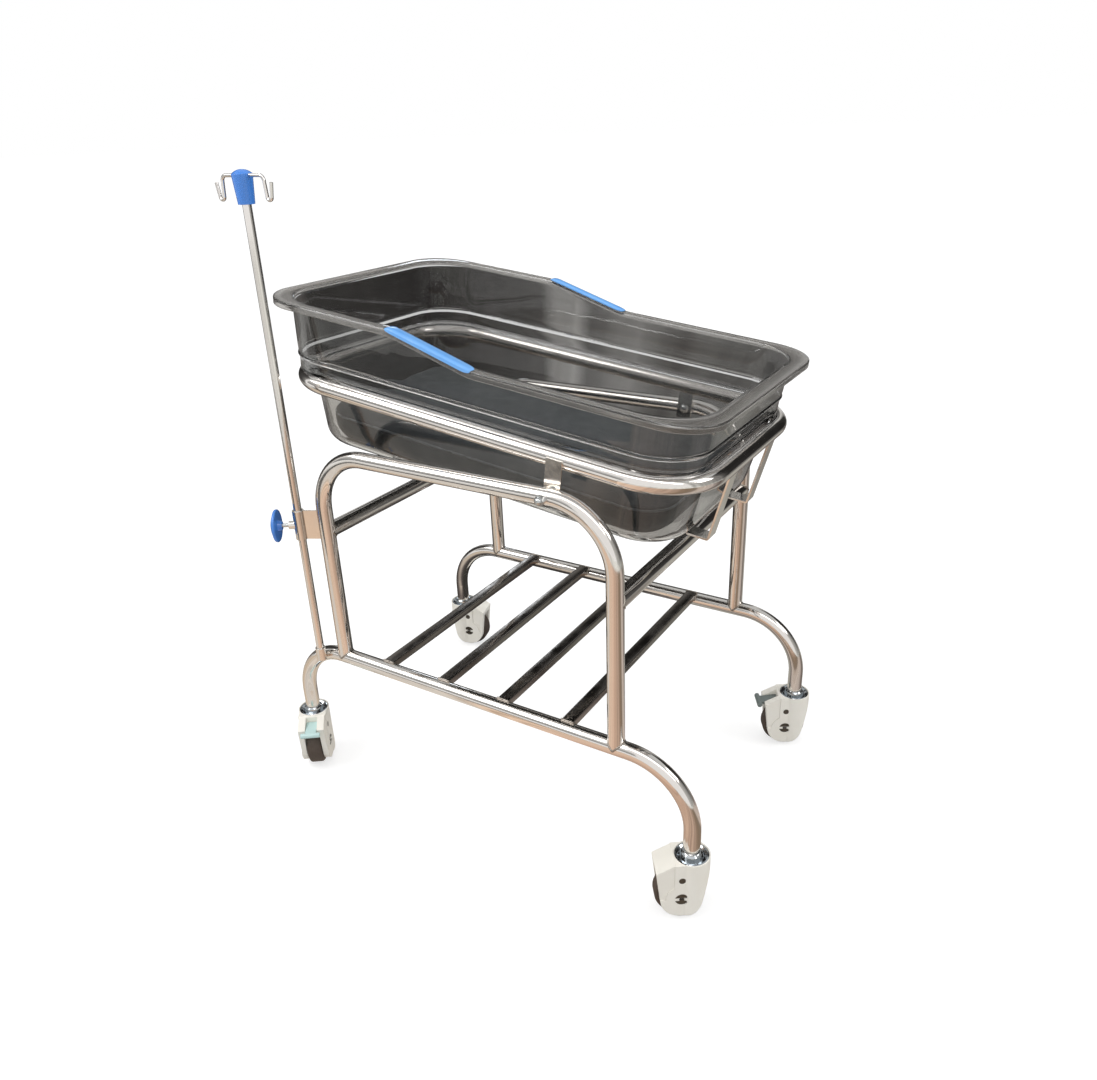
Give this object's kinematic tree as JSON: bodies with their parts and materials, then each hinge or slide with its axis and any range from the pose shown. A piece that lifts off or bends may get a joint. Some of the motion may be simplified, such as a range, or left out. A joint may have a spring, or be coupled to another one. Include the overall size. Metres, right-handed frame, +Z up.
{
  "type": "hospital bassinet",
  "caption": "Bent-tube newborn trolley on swivel casters, with a clear lift-out tub and mattress in a tilting ring frame, a slatted lower shelf and a height-adjustable drip pole.",
  "frame": {"origin": "on the floor, midway between the four caster stems", "axes": "+X towards the foot end, +Y towards the side away from the drip pole, +Z up"},
  "size_m": [0.798, 0.5594, 1.012],
  "materials": {
    "chrome_tube": "polished",
    "zinc_steel": "satin",
    "caster_steel": "polished",
    "clear_tub": "clear, lightly smoked",
    "pad_cover": "satin",
    "blue_plastic": "gloss",
    "caster_plastic": "satin",
    "pedal_pale_plastic": "satin",
    "pedal_grey_plastic": "satin",
    "cap_plastic": "satin",
    "wheel_plastic": "satin",
    "tread_rubber": "satin"
  },
  "bodies": {
    "frame": {"arch_far": "chrome_tube", "arch_near": "chrome_tube", "cross_bar_foot": "chrome_tube", "cross_bar_head": "chrome_tube", "rail_far": "chrome_tube", "rail_near": "chrome_tube", "shelf_slat_1": "chrome_tube", "shelf_slat_2": "chrome_tube", "shelf_slat_3": "chrome_tube", "shelf_slat_4": "chrome_tube", "pivot_bolts": "zinc_steel", "pivot_washers": "zinc_steel", "pivot_nuts": "zinc_steel", "pole_foot_cup": "chrome_tube", "clamp_sleeve": "chrome_tube", "clamp_plate": "chrome_tube", "caster_head_near_stem": "caster_steel", "caster_head_far_stem": "caster_steel", "caster_foot_near_stem": "caster_steel", "caster_foot_far_stem": "caster_steel"},
    "tub_cradle": {"tub_ring": "chrome_tube", "pivot_strap_near": "chrome_tube", "pivot_strap_far": "chrome_tube", "foot_strap_near": "chrome_tube", "foot_strap_far": "chrome_tube"},
    "tub": {"tub": "clear_tub", "rim_grip_near": "blue_plastic", "rim_grip_far": "blue_plastic"},
    "mattress": {"mattress": "pad_cover"},
    "pole": {"pole_rod": "chrome_tube", "pole_hub": "blue_plastic", "pole_hooks": "chrome_tube"},
    "clamp": {"clamp_screw": "zinc_steel", "clamp_knob": "blue_plastic"},
    "caster_head_near_swivel": {"caster_head_near_fork": "caster_plastic", "caster_head_near_axle": "zinc_steel", "caster_head_near_axle_caps": "cap_plastic", "caster_head_near_rivets": "cap_plastic"},
    "caster_head_near_wheel": {"caster_head_near_wheel_core": "wheel_plastic", "caster_head_near_wheel_tread": "tread_rubber"},
    "caster_head_near_brake": {"caster_head_near_brake_pedal": "pedal_pale_plastic"},
    "caster_head_far_swivel": {"caster_head_far_fork": "caster_plastic", "caster_head_far_axle": "zinc_steel", "caster_head_far_axle_caps": "cap_plastic", "caster_head_far_rivets": "cap_plastic"},
    "caster_head_far_wheel": {"caster_head_far_wheel_core": "wheel_plastic", "caster_head_far_wheel_tread": "tread_rubber"},
    "caster_foot_near_swivel": {"caster_foot_near_fork": "caster_plastic", "caster_foot_near_axle": "zinc_steel", "caster_foot_near_axle_caps": "cap_plastic", "caster_foot_near_rivets": "cap_plastic"},
    "caster_foot_near_wheel": {"caster_foot_near_wheel_core": "wheel_plastic", "caster_foot_near_wheel_tread": "tread_rubber"},
    "caster_foot_far_swivel": {"caster_foot_far_fork": "caster_plastic", "caster_foot_far_axle": "zinc_steel", "caster_foot_far_axle_caps": "cap_plastic", "caster_foot_far_rivets": "cap_plastic"},
    "caster_foot_far_wheel": {"caster_foot_far_wheel_core": "wheel_plastic", "caster_foot_far_wheel_tread": "tread_rubber"},
    "caster_foot_far_brake": {"caster_foot_far_brake_pedal": "pedal_grey_plastic"}
  },
  "joints": [
    {"name": "tub_tilt", "type": "hinge", "parent": "frame", "child": "tub_cradle", "pos_m": [0.15055, 0, 0.60817], "axis": [0, 1, 0], "range_deg": [-14, 5]},
    {"name": "tub_lift_out", "type": "slide", "parent": "tub_cradle", "child": "tub", "axis": [0.1219, 0, 0.9925], "range_m": [0, 0.15]},
    {"name": "mattress_lift_out", "type": "slide", "parent": "tub", "child": "mattress", "axis": [0.1219, 0, 0.9925], "range_m": [0, 0.2]},
    {"name": "pole_height", "type": "slide", "parent": "frame", "child": "pole", "axis": [0, 0, 1], "range_m": [0, 0.25]},
    {"name": "clamp_knob_turn", "type": "hinge", "parent": "frame", "child": "clamp", "pos_m": [-0.3055, -0.2495, 0.485], "axis": [-0.829, -0.5592, 0], "range_deg": [0, 540]},
    {"name": "caster_head_near_swivel", "type": "hinge", "parent": "frame", "child": "caster_head_near_swivel", "pos_m": [-0.372, -0.23, 0.09], "axis": [0, 0, 1], "continuous": true},
    {"name": "caster_head_near_wheel_roll", "type": "hinge", "parent": "caster_head_near_swivel", "child": "caster_head_near_wheel", "pos_m": [-0.36177, -0.24358, 0.0375], "axis": [-0.7986, -0.6018, 0], "continuous": true},
    {"name": "caster_head_near_brake_press", "type": "hinge", "parent": "caster_head_near_swivel", "child": "caster_head_near_brake", "pos_m": [-0.35034, -0.25875, 0.0845], "axis": [0.7986, 0.6018, 0], "range_deg": [0, 14]},
    {"name": "caster_head_far_swivel", "type": "hinge", "parent": "frame", "child": "caster_head_far_swivel", "pos_m": [-0.372, 0.23, 0.09], "axis": [0, 0, 1], "continuous": true},
    {"name": "caster_head_far_wheel_roll", "type": "hinge", "parent": "caster_head_far_swivel", "child": "caster_head_far_wheel", "pos_m": [-0.35558, 0.2344, 0.0375], "axis": [0.2588, -0.9659, 0], "continuous": true},
    {"name": "caster_foot_near_swivel", "type": "hinge", "parent": "frame", "child": "caster_foot_near_swivel", "pos_m": [0.372, -0.23, 0.09], "axis": [0, 0, 1], "continuous": true},
    {"name": "caster_foot_near_wheel_roll", "type": "hinge", "parent": "caster_foot_near_swivel", "child": "caster_foot_near_wheel", "pos_m": [0.35807, -0.23975, 0.0375], "axis": [-0.5736, 0.8192, 0], "continuous": true},
    {"name": "caster_foot_far_swivel", "type": "hinge", "parent": "frame", "child": "caster_foot_far_swivel", "pos_m": [0.372, 0.23, 0.09], "axis": [0, 0, 1], "continuous": true},
    {"name": "caster_foot_far_wheel_roll", "type": "hinge", "parent": "caster_foot_far_swivel", "child": "caster_foot_far_wheel", "pos_m": [0.35728, 0.2215, 0.0375], "axis": [-0.5, 0.866, 0], "continuous": true},
    {"name": "caster_foot_far_brake_press", "type": "hinge", "parent": "caster_foot_far_swivel", "child": "caster_foot_far_brake", "pos_m": [0.34082, 0.212, 0.0845], "axis": [0.5, -0.866, 0], "range_deg": [0, 14]}
  ]
}
